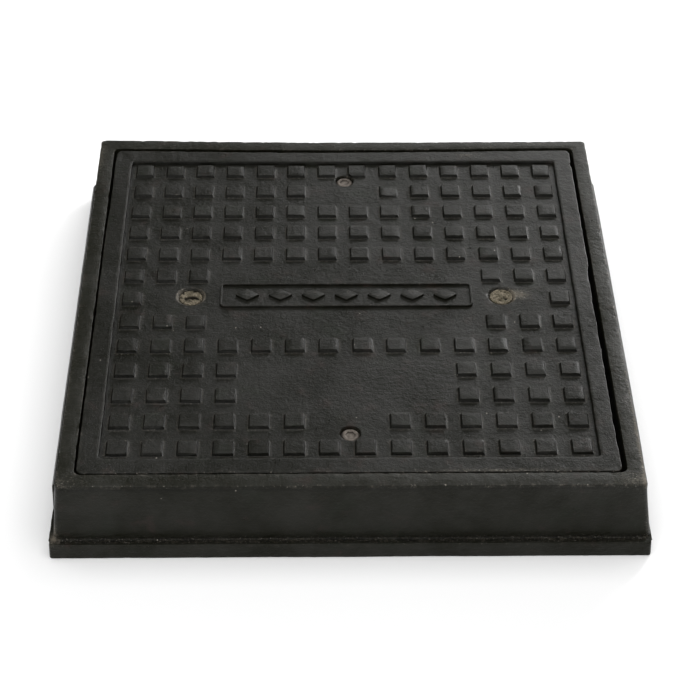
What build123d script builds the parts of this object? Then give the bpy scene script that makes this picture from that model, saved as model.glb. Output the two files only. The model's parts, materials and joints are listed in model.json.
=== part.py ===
from build123d import *
import os
from math import atan, degrees, pi, sin

# A square, lockable, gas-tight manhole cover in its frame, for a concrete surround.
# Millimetres. +Z up, origin at the centre of the frame's underside, front edge towards -Y.

os.makedirs("parts", exist_ok=True)

# ---- Frame -------------------------------------------------------------------------------
FRAME_HEIGHT = 90.0
FLANGE_SIZE = 604.0
FLANGE_THICKNESS = 18.0
FLANGE_INSET = 0.8  # how far each edge of the flange leans in over its thickness
FLANGE_CORNER = 3.0
RIM_SIZE = 580.5
WALL_CORNER = 5.0
WALL_FOOT_WIDTH = 596.0  # the side walls lean in more than the front and rear ones
WALL_FOOT_LENGTH = 586.0
WALL_FOOT_X = 2.0  # and the right-hand one leans in the most
POCKET_SIZE = 546.5
POCKET_Y = 1.0  # the front stretch of the rim is cast wider than the rear one
POCKET_INSET = 0.6  # how far each wall of the pocket leans in by the seat
POCKET_CORNER = 9.0
CLEAR_OPENING = 500.0
OPENING_CORNER = 20.0
SEAT_HEIGHT = 56.0
LEDGE_THICKNESS = 14.0
WALL_INNER_SIZE = 560.0  # inside the wall, below the seat ledge
GUSSET_THICKNESS = 10.0
GUSSET_PITCH = 140.0
EDGE_ROUND = 1.2

# Side pads: long thickenings outside the left and right walls, flush with the flange's edge
PAD_LENGTH = 504.0
PAD_TOP = 56.0
PAD_INSET = 1.4
PAD_CHAMFER = 2.5

# ---- Gasket ------------------------------------------------------------------------------
GASKET_MIDLINE = 528.0  # square that the gasket's centre line follows
GASKET_WIDTH = 10.0
GASKET_GROOVE = 3.0
GASKET_PROUD = 2.0  # how far the squeezed gasket stands above the seat

# ---- Cover -------------------------------------------------------------------------------
COVER_SIZE = 541.0
COVER_CORNER = 9.0
COVER_X = -0.9  # where the cover lies in the clearance of its pocket
COVER_Y = -0.8
SKIRT_INSET = 0.6
SKIRT_THICKNESS = 14.0
FIELD_SIZE = 502.5
FIELD_DEPTH = 4.0
FIELD_SLOPE = 28.0  # degrees from vertical
PLATE_THICKNESS = 10.0
RIB_COUNT = 8
RIB_PITCH = 57.0
RIB_THICKNESS = 7.0
RIB_REACH = 488.0  # length of the deep part of a rib, clear of the seat ledge
RIB_BOTTOM = 50.0

# ---- Anti-slip studs ---------------------------------------------------------------------
STUD_FIELD = 466.0  # between the centres of the outermost studs, both ways
STUD_SIZE = 22.8
STUD_SLOPE = 26.0
COLUMN_DRIFT = 2.0  # the middle columns stand this far left of an even pitch
STUD_ROWS = [  # rear row first
    "##############",
    "######..######",
    "##############",
    "##############",
    "##############",
    "###........###",
    "#............#",
    "###........###",
    "##############",
    "####......####",
    "####......####",
    "######..######",
    "##############",
]

# ---- Blank name band ---------------------------------------------------------------------
BAND_LENGTH = 276.0
BAND_WIDTH = 40.0
BAND_Y = 5.0
BAND_LINE = 3.0
BAND_HEIGHT = 2.5
LOZENGE_COUNT = 7
LOZENGE_PITCH = 36.0
LOZENGE_LENGTH = 26.0
LOZENGE_WIDTH = 18.0

# ---- Lifting sockets ---------------------------------------------------------------------
KEYHOLE_X = 169.6
KEYHOLE_Y = 5.0  # from the cover's centre, in line with the name band
KEYHOLE_RADIUS = 13.0
KEYHOLE_BEVEL = 2.5
SOCKET_OUTER_RADIUS = 38.0
SOCKET_INNER_RADIUS = 27.0
KEY_BAR_RADIUS = 5.0
KEY_BAR_HOLE_RADIUS = 5.05
KEY_BAR_HEIGHT = 62.0
BAR_END_CHAMFER = 0.8
CUP_SEAL_THICKNESS = 1.5
CUP_FLANGE_THICKNESS = 4.0
CUP_DEPTH = 7.0
CUP_WALL = 3.0
CUP_SLOPE = 10.0
CUP_SCREW_CIRCLE = 32.5
CUP_SCREW_COUNT = 4
CUP_SCREW_RADIUS = 2.5
CUP_SCREW_LENGTH = 14.0
CUP_SCREW_HOLE_DEPTH = 10.0
CUP_SCREW_HEAD_WIDTH = 8.0
CUP_SCREW_HEAD_HEIGHT = 3.0
PLUG_GAP = 0.3
PLUG_TOP = 85.2
PLUG_BOTTOM = 67.1
PLUG_DISH_RADIUS = 7.0
PLUG_DISH_DEPTH = 2.5
PLUG_DISH_SLOPE = 40.0
PLUG_EDGE = 0.6

# ---- Locking screws: M12 x 40, captive ---------------------------------------------------
LOCK_Y = 213.6  # each way from their midpoint
LOCK_MIDDLE_X = 0.0
LOCK_MIDDLE_Y = 1.6
COUNTERBORE_RADIUS = 10.5
COUNTERBORE_FLOOR = 68.0
LOCK_SEAL_THICKNESS = 2.0
LOCK_SEAL_RADIUS = 10.2
LOCK_SEAL_BORE = 6.4
WASHER_THICKNESS = 2.0
WASHER_RADIUS = 10.0
WASHER_BORE = 6.25
WASHER_EDGE = 0.4
SCREW_RADIUS = 6.0
SCREW_LENGTH = 40.0
SCREW_HEAD_RADIUS = 9.0
SCREW_HEAD_HEIGHT = 12.0
SCREW_SOCKET_WIDTH = 10.0
SCREW_SOCKET_DEPTH = 6.0
SCREW_CHAMFER = 1.2
SCREW_HOLE_RADIUS = 6.75
LOCK_BOSS_RADIUS = 20.0
CLIP_POCKET_RADIUS = 13.0
CLIP_POCKET_ROOF = 62.5
CLIP_RADIUS = 10.0
CLIP_GROOVE_RADIUS = 5.2
CLIP_THICKNESS = 1.2
CLIP_BOTTOM = 46.6
CLIP_MOUTH = 7.0

# ---- Lock lugs and their bushes ----------------------------------------------------------
LUG_WIDTH = 56.0
LUG_BOTTOM = 24.0
LUG_TOP = 46.0
BUSH_RADIUS = 9.5
BUSH_BORE = 6.08
BUSH_COLLAR_WIDTH = 24.0
BUSH_COLLAR_THICKNESS = 4.0

# ---- Derived heights ---------------------------------------------------------------------
COVER_TOP = FRAME_HEIGHT
FIELD_LEVEL = COVER_TOP - FIELD_DEPTH
PLATE_BOTTOM = FIELD_LEVEL - PLATE_THICKNESS
COVER_BOTTOM = SEAT_HEIGHT + GASKET_PROUD
COVER_HEIGHT = COVER_TOP - COVER_BOTTOM
CAVITY_SIZE = COVER_SIZE - 2 * SKIRT_THICKNESS
WASHER_BOTTOM = COUNTERBORE_FLOOR + LOCK_SEAL_THICKNESS
HEAD_BOTTOM = WASHER_BOTTOM + WASHER_THICKNESS
CUP_TOP = RIB_BOTTOM - CUP_SEAL_THICKNESS
CUP_FLANGE_BOTTOM = CUP_TOP - CUP_FLANGE_THICKNESS


def lean(inset, height):
    """The taper angle that moves a wall by inset over height."""
    return degrees(atan(inset / height))


def cover_plane(height):
    """A level plane whose origin is on the cover's own centre line."""
    return Plane(origin=(COVER_X, COVER_Y, height))


def socket_plane(height):
    """A level plane whose origin is midway between the two lifting sockets."""
    return Plane(origin=(COVER_X, COVER_Y + KEYHOLE_Y, height))


def lock_plane(height):
    """A level plane whose origin is midway between the two locking screws."""
    return Plane(origin=(LOCK_MIDDLE_X, LOCK_MIDDLE_Y, height))


def stud_places():
    """The centre of every stud, on the cover's own axes."""
    columns = len(STUD_ROWS[0])
    across = STUD_FIELD / (columns - 1)
    along = STUD_FIELD / (len(STUD_ROWS) - 1)
    places = []
    for row, pattern in enumerate(STUD_ROWS):
        for column, mark in enumerate(pattern):
            if mark == "#":
                x = -STUD_FIELD / 2 + column * across
                x -= COLUMN_DRIFT * sin(pi * column / (columns - 1))
                y = STUD_FIELD / 2 - row * along
                places.append((x, y))
    return places


def save(part, name):
    """Label a finished piece and write its file."""
    part.label = name
    export_step(part, f"parts/{name}.step")


# ---- Frame casting -----------------------------------------------------------------------
with BuildPart() as frame_casting:
    # Base flange, its edges drafted
    with BuildSketch():
        RectangleRounded(FLANGE_SIZE, FLANGE_SIZE, FLANGE_CORNER)
    extrude(amount=FLANGE_THICKNESS, taper=lean(FLANGE_INSET, FLANGE_THICKNESS))
    # Wall, leaning in from its foot on the flange to the rim
    with BuildSketch(Plane.XY.offset(FLANGE_THICKNESS)):
        with Locations((WALL_FOOT_X, 0)):
            RectangleRounded(WALL_FOOT_WIDTH, WALL_FOOT_LENGTH, WALL_CORNER)
    with BuildSketch(Plane.XY.offset(FRAME_HEIGHT)):
        RectangleRounded(RIM_SIZE, RIM_SIZE, WALL_CORNER)
    loft(ruled=True)
    # Side pads
    with BuildSketch(Plane.XZ):
        for side in (-1, 1):
            with BuildLine():
                Polyline(
                    (side * CLEAR_OPENING / 2, 0),
                    (side * FLANGE_SIZE / 2, 0),
                    (side * (FLANGE_SIZE / 2 - PAD_INSET), PAD_TOP - PAD_CHAMFER),
                    (side * (FLANGE_SIZE / 2 - PAD_INSET - PAD_CHAMFER), PAD_TOP),
                    (side * CLEAR_OPENING / 2, PAD_TOP),
                    close=True,
                )
            make_face()
    extrude(amount=PAD_LENGTH / 2, both=True)
    # Rounded upper edge of the rim
    fillet(faces().sort_by(Axis.Z)[-1].edges(), EDGE_ROUND)
    # Pocket for the cover, down to the seat
    with BuildSketch(Plane.XY.offset(FRAME_HEIGHT)):
        with Locations((0, POCKET_Y)):
            RectangleRounded(POCKET_SIZE, POCKET_SIZE, POCKET_CORNER)
    pocket_depth = FRAME_HEIGHT - SEAT_HEIGHT
    extrude(amount=-pocket_depth, taper=lean(POCKET_INSET, pocket_depth), mode=Mode.SUBTRACT)
    # Clear opening
    with BuildSketch():
        RectangleRounded(CLEAR_OPENING, CLEAR_OPENING, OPENING_CORNER)
    extrude(amount=SEAT_HEIGHT, mode=Mode.SUBTRACT)
    # Recess between the flange and the seat ledge
    with BuildSketch(Plane.XY.offset(FLANGE_THICKNESS)):
        RectangleRounded(WALL_INNER_SIZE, WALL_INNER_SIZE, OPENING_CORNER)
    recess_height = SEAT_HEIGHT - LEDGE_THICKNESS - FLANGE_THICKNESS
    extrude(amount=recess_height, mode=Mode.SUBTRACT)
    # Groove for the gasket
    with BuildSketch(Plane.XY.offset(SEAT_HEIGHT)):
        outer_side = GASKET_MIDLINE + GASKET_WIDTH
        inner_side = GASKET_MIDLINE - GASKET_WIDTH
        RectangleRounded(outer_side, outer_side, OPENING_CORNER)
        RectangleRounded(inner_side, inner_side, OPENING_CORNER - GASKET_WIDTH, mode=Mode.SUBTRACT)
    extrude(amount=-GASKET_GROOVE, mode=Mode.SUBTRACT)
    # Gussets that carry the seat ledge, three on each side
    with BuildSketch(Plane.XY.offset(FLANGE_THICKNESS)):
        gusset_length = (WALL_INNER_SIZE - CLEAR_OPENING) / 2 + 1
        with PolarLocations((CLEAR_OPENING + gusset_length) / 2, 4):
            with GridLocations(0, GUSSET_PITCH, 1, 3):
                Rectangle(gusset_length, GUSSET_THICKNESS)
    extrude(amount=recess_height)
    # Lock lugs, one under each locking screw, with rounded noses
    for side in (-1, 1):
        screw_y = LOCK_MIDDLE_Y + side * LOCK_Y
        root_y = side * (WALL_INNER_SIZE / 2 + 1)
        with BuildSketch(Plane.XY.offset(LUG_BOTTOM)):
            with Locations((LOCK_MIDDLE_X, (screw_y + root_y) / 2)):
                Rectangle(LUG_WIDTH, abs(root_y - screw_y))
            with Locations((LOCK_MIDDLE_X, screw_y)):
                Circle(LUG_WIDTH / 2)
        extrude(amount=LUG_TOP - LUG_BOTTOM)
        with Locations(Plane(origin=(LOCK_MIDDLE_X, screw_y, LUG_TOP))):
            Hole(BUSH_RADIUS, depth=LUG_TOP - LUG_BOTTOM)
save(frame_casting.part, "frame_casting")

# ---- Seating gasket ----------------------------------------------------------------------
with BuildPart() as seating_gasket:
    with BuildSketch(Plane.XY.offset(SEAT_HEIGHT - GASKET_GROOVE)):
        RectangleRounded(outer_side, outer_side, OPENING_CORNER)
        RectangleRounded(inner_side, inner_side, OPENING_CORNER - GASKET_WIDTH, mode=Mode.SUBTRACT)
    extrude(amount=GASKET_GROOVE + GASKET_PROUD)
save(seating_gasket.part, "seating_gasket")

# ---- Cover casting -----------------------------------------------------------------------
with BuildPart() as cover_casting:
    # Plate and skirt as one drafted block
    with BuildSketch(cover_plane(COVER_TOP)):
        RectangleRounded(COVER_SIZE, COVER_SIZE, COVER_CORNER)
    extrude(amount=-COVER_HEIGHT, taper=lean(SKIRT_INSET, COVER_HEIGHT))
    fillet(faces().sort_by(Axis.Z)[-1].edges(), EDGE_ROUND)
    # Sunk field inside the flat border
    with BuildSketch(cover_plane(COVER_TOP)):
        RectangleRounded(FIELD_SIZE, FIELD_SIZE, COVER_CORNER / 2)
    extrude(amount=-FIELD_DEPTH, taper=FIELD_SLOPE, mode=Mode.SUBTRACT)
    # Hollow underside
    with BuildSketch(cover_plane(COVER_BOTTOM)):
        RectangleRounded(CAVITY_SIZE, CAVITY_SIZE, COVER_CORNER)
    extrude(amount=PLATE_BOTTOM - COVER_BOTTOM, taper=1, mode=Mode.SUBTRACT)
    # Rib grid: shallow out to the skirt, deep inside the clear opening
    for length, bottom in ((CAVITY_SIZE, COVER_BOTTOM), (RIB_REACH, RIB_BOTTOM)):
        with BuildSketch(cover_plane(bottom)):
            with GridLocations(RIB_PITCH, 0, RIB_COUNT, 1):
                Rectangle(RIB_THICKNESS, length)
            with GridLocations(0, RIB_PITCH, 1, RIB_COUNT):
                Rectangle(length, RIB_THICKNESS)
        extrude(amount=PLATE_BOTTOM - bottom)
    # Bosses round the lifting sockets and the locking screws
    with BuildSketch(socket_plane(RIB_BOTTOM)):
        with GridLocations(2 * KEYHOLE_X, 0, 2, 1):
            Circle(SOCKET_OUTER_RADIUS)
    with BuildSketch(lock_plane(RIB_BOTTOM)):
        with GridLocations(0, 2 * LOCK_Y, 1, 2):
            Circle(LOCK_BOSS_RADIUS)
    extrude(amount=PLATE_BOTTOM - RIB_BOTTOM)
    # Lifting sockets: a chamber where the key turns, and the cross hole of its bar
    with Locations(socket_plane(RIB_BOTTOM)):
        with GridLocations(2 * KEYHOLE_X, 0, 2, 1):
            Cylinder(
                SOCKET_INNER_RADIUS,
                PLATE_BOTTOM - RIB_BOTTOM,
                align=(Align.CENTER, Align.CENTER, Align.MIN),
                mode=Mode.SUBTRACT,
            )
    with Locations(socket_plane(KEY_BAR_HEIGHT)):
        with GridLocations(2 * KEYHOLE_X, 0, 2, 1):
            Cylinder(
                KEY_BAR_HOLE_RADIUS,
                2 * SOCKET_OUTER_RADIUS,
                rotation=(90, 0, 0),
                mode=Mode.SUBTRACT,
            )
    # Blind holes for the screws of the socket cups
    for side in (-1, 1):
        socket_place = (COVER_X + side * KEYHOLE_X, COVER_Y + KEYHOLE_Y, RIB_BOTTOM)
        with Locations(Plane(origin=socket_place)):
            with PolarLocations(CUP_SCREW_CIRCLE, CUP_SCREW_COUNT, start_angle=45):
                Cylinder(
                    CUP_SCREW_RADIUS,
                    CUP_SCREW_HOLE_DEPTH,
                    align=(Align.CENTER, Align.CENTER, Align.MIN),
                    mode=Mode.SUBTRACT,
                )
    # Keyholes, bevelled at the top
    with Locations(socket_plane(FIELD_LEVEL)):
        with GridLocations(2 * KEYHOLE_X, 0, 2, 1):
            CounterSinkHole(
                KEYHOLE_RADIUS,
                KEYHOLE_RADIUS + KEYHOLE_BEVEL,
                depth=PLATE_THICKNESS,
                counter_sink_angle=90,
            )
    # Studs, drafted, level with the border
    with BuildSketch(cover_plane(FIELD_LEVEL)):
        with Locations(*stud_places()):
            Rectangle(STUD_SIZE, STUD_SIZE)
    extrude(amount=FIELD_DEPTH, taper=STUD_SLOPE)
    # Blank name band: a raised outline round a row of plain lozenges
    with BuildSketch(cover_plane(FIELD_LEVEL)):
        with Locations((0, BAND_Y)):
            RectangleRounded(BAND_LENGTH, BAND_WIDTH, BAND_LINE * 2)
            RectangleRounded(
                BAND_LENGTH - 2 * BAND_LINE,
                BAND_WIDTH - 2 * BAND_LINE,
                BAND_LINE,
                mode=Mode.SUBTRACT,
            )
            with GridLocations(LOZENGE_PITCH, 0, LOZENGE_COUNT, 1):
                Polygon(
                    (-LOZENGE_LENGTH / 2, 0),
                    (0, -LOZENGE_WIDTH / 2),
                    (LOZENGE_LENGTH / 2, 0),
                    (0, LOZENGE_WIDTH / 2),
                )
    extrude(amount=BAND_HEIGHT)
    # Locking screw holes, sunk for the head above, through a stud or two, and for the clip below
    lock_web = COUNTERBORE_FLOOR - CLIP_POCKET_ROOF
    with Locations(lock_plane(COVER_TOP)):
        with GridLocations(0, 2 * LOCK_Y, 1, 2):
            CounterBoreHole(
                SCREW_HOLE_RADIUS,
                COUNTERBORE_RADIUS,
                COVER_TOP - COUNTERBORE_FLOOR,
                depth=COVER_TOP - COUNTERBORE_FLOOR + lock_web,
            )
    with Locations(lock_plane(RIB_BOTTOM)):
        with GridLocations(0, 2 * LOCK_Y, 1, 2):
            Cylinder(
                CLIP_POCKET_RADIUS,
                CLIP_POCKET_ROOF - RIB_BOTTOM,
                align=(Align.CENTER, Align.CENTER, Align.MIN),
                mode=Mode.SUBTRACT,
            )
save(cover_casting.part, "cover_casting")

# ---- Lifting socket pieces, left and right -----------------------------------------------
for side, side_name in ((-1, "left"), (1, "right")):
    socket_x = COVER_X + side * KEYHOLE_X
    socket_y = COVER_Y + KEYHOLE_Y

    # Steel bar that the lifting key hooks under
    bar_plane = Plane(origin=(socket_x, socket_y, KEY_BAR_HEIGHT), z_dir=(0, 1, 0))
    with BuildPart(bar_plane) as key_bar:
        Cylinder(KEY_BAR_RADIUS, 2 * SOCKET_OUTER_RADIUS - 1)
        chamfer(key_bar.edges().filter_by(GeomType.CIRCLE), BAR_END_CHAMFER)
    save(key_bar.part, f"{side_name}_key_bar")

    # Rubber ring between the boss and the cup
    with BuildPart() as cup_seal:
        with BuildSketch(Plane(origin=(socket_x, socket_y, CUP_TOP))):
            Circle(SOCKET_OUTER_RADIUS)
            Circle(SOCKET_INNER_RADIUS, mode=Mode.SUBTRACT)
            with PolarLocations(CUP_SCREW_CIRCLE, CUP_SCREW_COUNT, start_angle=45):
                Circle(CUP_SCREW_RADIUS, mode=Mode.SUBTRACT)
        extrude(amount=CUP_SEAL_THICKNESS)
    save(cup_seal.part, f"{side_name}_cup_seal")

    # Closed cup that keeps the socket gas-tight
    with BuildPart() as key_cup:
        with BuildSketch(Plane(origin=(socket_x, socket_y, CUP_TOP))):
            Circle(SOCKET_OUTER_RADIUS)
        extrude(amount=-CUP_FLANGE_THICKNESS)
        with BuildSketch(Plane(origin=(socket_x, socket_y, CUP_FLANGE_BOTTOM))):
            Circle(SOCKET_INNER_RADIUS)
        extrude(amount=-CUP_DEPTH, taper=CUP_SLOPE)
        with BuildSketch(Plane(origin=(socket_x, socket_y, CUP_TOP))):
            Circle(SOCKET_INNER_RADIUS - CUP_WALL)
        extrude(
            amount=CUP_WALL - CUP_FLANGE_THICKNESS - CUP_DEPTH,
            taper=CUP_SLOPE,
            mode=Mode.SUBTRACT,
        )
        with Locations(Plane(origin=(socket_x, socket_y, CUP_TOP))):
            with PolarLocations(CUP_SCREW_CIRCLE, CUP_SCREW_COUNT, start_angle=45):
                Hole(CUP_SCREW_RADIUS, depth=CUP_FLANGE_THICKNESS)
    save(key_cup.part, f"{side_name}_key_cup")

    # Hexagon-headed screws that hold the cup up against its seal
    with BuildPart() as cup_screws:
        with BuildSketch(Plane(origin=(socket_x, socket_y, CUP_FLANGE_BOTTOM))):
            with PolarLocations(CUP_SCREW_CIRCLE, CUP_SCREW_COUNT, start_angle=45):
                RegularPolygon(CUP_SCREW_HEAD_WIDTH / 2, 6, major_radius=False)
        extrude(amount=-CUP_SCREW_HEAD_HEIGHT)
        with BuildSketch(Plane(origin=(socket_x, socket_y, CUP_FLANGE_BOTTOM))):
            with PolarLocations(CUP_SCREW_CIRCLE, CUP_SCREW_COUNT, start_angle=45):
                Circle(CUP_SCREW_RADIUS)
        extrude(amount=CUP_SCREW_LENGTH)
    save(cup_screws.part, f"{side_name}_cup_screws")

    # Push-in plug that keeps grit out of the keyhole; it stands on the key bar
    with BuildPart() as key_plug:
        with BuildSketch(Plane(origin=(socket_x, socket_y, PLUG_BOTTOM))):
            Circle(KEYHOLE_RADIUS - PLUG_GAP)
        extrude(amount=PLUG_TOP - PLUG_BOTTOM)
        chamfer(key_plug.edges().filter_by(GeomType.CIRCLE).sort_by(Axis.Z), PLUG_EDGE)
        with BuildSketch(Plane(origin=(socket_x, socket_y, PLUG_TOP))):
            Circle(PLUG_DISH_RADIUS)
        extrude(amount=-PLUG_DISH_DEPTH, taper=PLUG_DISH_SLOPE, mode=Mode.SUBTRACT)
    save(key_plug.part, f"{side_name}_key_plug")

# ---- Locking screw pieces, rear and front ------------------------------------------------
for side, side_name in ((1, "rear"), (-1, "front")):
    screw_y = LOCK_MIDDLE_Y + side * LOCK_Y

    # Collared bush, threaded on the real thing, pressed up into the frame's lug
    with BuildPart() as lock_bush:
        with BuildSketch(Plane(origin=(LOCK_MIDDLE_X, screw_y, LUG_BOTTOM))):
            Circle(BUSH_RADIUS)
        extrude(amount=LUG_TOP - LUG_BOTTOM)
        with BuildSketch(Plane(origin=(LOCK_MIDDLE_X, screw_y, LUG_BOTTOM))):
            RegularPolygon(BUSH_COLLAR_WIDTH / 2, 6, major_radius=False)
        extrude(amount=-BUSH_COLLAR_THICKNESS)
        with Locations(Plane(origin=(LOCK_MIDDLE_X, screw_y, LUG_TOP))):
            Hole(BUSH_BORE, depth=LUG_TOP - LUG_BOTTOM + BUSH_COLLAR_THICKNESS)
    save(lock_bush.part, f"{side_name}_lock_bush")

    # Rubber ring on the counterbore's floor
    with BuildPart() as bolt_seal:
        with BuildSketch(Plane(origin=(LOCK_MIDDLE_X, screw_y, COUNTERBORE_FLOOR))):
            Circle(LOCK_SEAL_RADIUS)
            Circle(LOCK_SEAL_BORE, mode=Mode.SUBTRACT)
        extrude(amount=LOCK_SEAL_THICKNESS)
    save(bolt_seal.part, f"{side_name}_bolt_seal")

    # Plain washer under the head
    with BuildPart() as bolt_washer:
        with BuildSketch(Plane(origin=(LOCK_MIDDLE_X, screw_y, WASHER_BOTTOM))):
            Circle(WASHER_RADIUS)
            Circle(WASHER_BORE, mode=Mode.SUBTRACT)
        extrude(amount=WASHER_THICKNESS)
        chamfer(bolt_washer.edges().filter_by(GeomType.CIRCLE).group_by(Axis.Z)[-1], WASHER_EDGE)
    save(bolt_washer.part, f"{side_name}_bolt_washer")

    # Socket-headed locking screw, grooved for its clip
    with BuildPart() as lock_bolt:
        with BuildSketch(Plane(origin=(LOCK_MIDDLE_X, screw_y, HEAD_BOTTOM))):
            Circle(SCREW_HEAD_RADIUS)
        extrude(amount=SCREW_HEAD_HEIGHT)
        chamfer(lock_bolt.edges().filter_by(GeomType.CIRCLE).sort_by(Axis.Z)[-1], SCREW_CHAMFER)
        with BuildSketch(Plane(origin=(LOCK_MIDDLE_X, screw_y, HEAD_BOTTOM))):
            Circle(SCREW_RADIUS)
        extrude(amount=-SCREW_LENGTH)
        chamfer(lock_bolt.edges().filter_by(GeomType.CIRCLE).sort_by(Axis.Z)[0], SCREW_CHAMFER)
        with BuildSketch(Plane(origin=(LOCK_MIDDLE_X, screw_y, HEAD_BOTTOM + SCREW_HEAD_HEIGHT))):
            RegularPolygon(SCREW_SOCKET_WIDTH / 2, 6, major_radius=False)
        extrude(amount=-SCREW_SOCKET_DEPTH, mode=Mode.SUBTRACT)
        with BuildSketch(Plane(origin=(LOCK_MIDDLE_X, screw_y, CLIP_BOTTOM))):
            Circle(SCREW_RADIUS + 1)
            Circle(CLIP_GROOVE_RADIUS, mode=Mode.SUBTRACT)
        extrude(amount=CLIP_THICKNESS, mode=Mode.SUBTRACT)
    save(lock_bolt.part, f"{side_name}_lock_bolt")

    # Open clip that keeps the slackened screw in the cover
    with BuildPart() as bolt_clip:
        with BuildSketch(Plane(origin=(LOCK_MIDDLE_X, screw_y, CLIP_BOTTOM))):
            Circle(CLIP_RADIUS)
            Circle(CLIP_GROOVE_RADIUS, mode=Mode.SUBTRACT)
            with Locations((0, -CLIP_RADIUS)):
                Rectangle(CLIP_MOUTH, 2 * CLIP_RADIUS - CLIP_MOUTH, mode=Mode.SUBTRACT)
        extrude(amount=CLIP_THICKNESS)
    save(bolt_clip.part, f"{side_name}_bolt_clip")
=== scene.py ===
"""Looks for a square, lockable manhole cover in its frame.

The mesh builders work in millimetres, in the CAD frame. piece() turns their points into metres.
"""
import json
import math

import bpy
import numpy as np
from mathutils import Matrix, Vector


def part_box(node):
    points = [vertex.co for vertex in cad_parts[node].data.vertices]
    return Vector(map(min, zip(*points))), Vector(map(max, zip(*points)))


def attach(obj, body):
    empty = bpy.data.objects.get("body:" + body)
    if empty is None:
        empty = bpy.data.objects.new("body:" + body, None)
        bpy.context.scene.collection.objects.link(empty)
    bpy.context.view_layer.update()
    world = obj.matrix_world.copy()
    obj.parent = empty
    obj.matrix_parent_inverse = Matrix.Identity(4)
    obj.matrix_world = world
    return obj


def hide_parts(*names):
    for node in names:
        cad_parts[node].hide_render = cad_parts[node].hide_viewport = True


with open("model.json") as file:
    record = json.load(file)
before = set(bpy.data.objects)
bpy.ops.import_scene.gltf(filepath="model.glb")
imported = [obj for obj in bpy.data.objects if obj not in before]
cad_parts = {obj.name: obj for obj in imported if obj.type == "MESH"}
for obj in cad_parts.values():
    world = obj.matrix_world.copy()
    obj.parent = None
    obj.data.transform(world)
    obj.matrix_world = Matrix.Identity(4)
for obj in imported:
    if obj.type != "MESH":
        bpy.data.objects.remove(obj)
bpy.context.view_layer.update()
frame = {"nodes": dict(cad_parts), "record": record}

MM = 0.001
SMOOTH_ANGLE = 38  # edges sharper than this many degrees stay sharp

# ---- Sizes that the looks need, in millimetres ----
COVER_CORNER = 7.0
SKIRT_INSET = 0.6
SKIRT_THICKNESS = 14.0
EDGE_ROUND = 1.2
FIELD_HALF = 250.6
FIELD_CORNER = 4.5
FIELD_DEPTH = 4.0
FLANK_SHARES = (0, 0.25, 0.48, 0.88, 0.95, 1.0)
FLANK = 2.2  # width of a stud's rounded, drafted flank
BORDER_FLANK = 1.4
PLATE_THICKNESS = 10.0
RIB_PITCH = 57.0
RIB_COUNT = 8
RIB_FOOT = 3.2
RIB_ROOT = 3.9
RIB_REACH = 244.0
SHALLOW_RIB = 32.0  # below the cover's top
DEEP_RIB = 40.0
STUD_SPAN = 466.0
STUD_HALF = 11.4
STUD_CORNER = 1.8
STUDS_END = 243.6  # inside this the grid stays square
COLUMN_DRIFT = 2.0  # the middle columns stand this far left of an even pitch
STUD_ROWS = (  # rear row first
    "##############",
    "######..######",
    "##############",
    "##############",
    "##############",
    "###........###",
    "#............#",
    "###........###",
    "##############",
    "####......####",
    "####......####",
    "######..######",
    "##############",
)
BROKEN_STUD = (1, 8)  # row and column of the one that was cast short
BAND_LENGTH = 276.0
BAND_WIDTH = 40.0
BAND_Y = 5.5
BAND_LINE = 3.0
BAND_HEIGHT = 2.5
LOZENGE_COUNT = 7
LOZENGE_PITCH = 36.0
LOZENGE_LENGTH = 26.0
LOZENGE_WIDTH = 18.0
TOP_SPACING = 4.1  # widest gap between the lines of the cover's top
BOTTOM_SPACING = 13.0
WORN_FROM = 250.0  # wear of the cover's sides reaches in to here
BORDER_FROM = 251.0  # the rear border is bowed from here out
NEAR_DOUBLE = 0.18  # lines closer than this become one
BAR_RADIUS = 5.06
THREAD_PITCH = 1.75


def box_mm(node):
    """Lowest and highest corner of a CAD node, in millimetres."""
    low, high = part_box(node)
    return np.array(low) / MM, np.array(high) / MM


def axis_mm(node):
    """Where a CAD node's upright axis stands in plan, in millimetres."""
    low, high = box_mm(node)
    return ((low + high) / 2)[:2]


# ---- Noise and small shape helpers ----
LATTICE = 32
noise_tables = {}


def noise(points, cell, seed):
    """Smooth noise from -1 to 1 at each point, with features about one cell wide."""
    if seed not in noise_tables:
        noise_tables[seed] = np.random.default_rng(seed).uniform(-1, 1, (LATTICE,) * 3)
    table = noise_tables[seed]
    scaled = np.asarray(points, float) / cell
    low = np.floor(scaled).astype(int)
    part = scaled - low
    part = part * part * part * (part * (part * 6 - 15) + 10)
    total = np.zeros(len(scaled))
    for corner in range(8):
        step = np.array([corner & 1, corner >> 1 & 1, corner >> 2 & 1])
        index = (low + step) % LATTICE
        weight = np.prod(np.where(step, part, 1 - part), axis=1)
        total += weight * table[index[:, 0], index[:, 1], index[:, 2]]
    return total


def rough(points, cell, seed, octaves=3):
    """Noise with finer and weaker copies of itself added."""
    total = np.zeros(len(points))
    for octave in range(octaves):
        total += noise(points, cell / 2**octave, seed + octave) / 2**octave
    return total / (2 - 0.5 ** (octaves - 1))


def ramp(depth, width):
    """0 at depth 0, 1 at width, with no corner at either end."""
    t = np.clip(depth / width, 0, 1)
    return t * t * (3 - 2 * t)


def bell(value, middle, width):
    """1 at the middle, falling off smoothly on both sides."""
    return np.exp(-(((value - middle) / width) ** 2))


def flank_rise(depth):
    """Share of full height on a drafted flank: a small fillet, a straight rise, a tight edge."""
    return np.interp(depth / FLANK, FLANK_SHARES, (0, 0.05, 0.17, 0.92, 0.985, 1.0))


def rect_depth(x, y, half_x, half_y, corner):
    """How far inside a rounded rectangle a point lies, negative outside."""
    across = np.abs(x) - (half_x - corner)
    along = np.abs(y) - (half_y - corner)
    outside = np.hypot(np.maximum(across, 0), np.maximum(along, 0))
    return corner - outside - np.minimum(np.maximum(across, along), 0)


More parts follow.
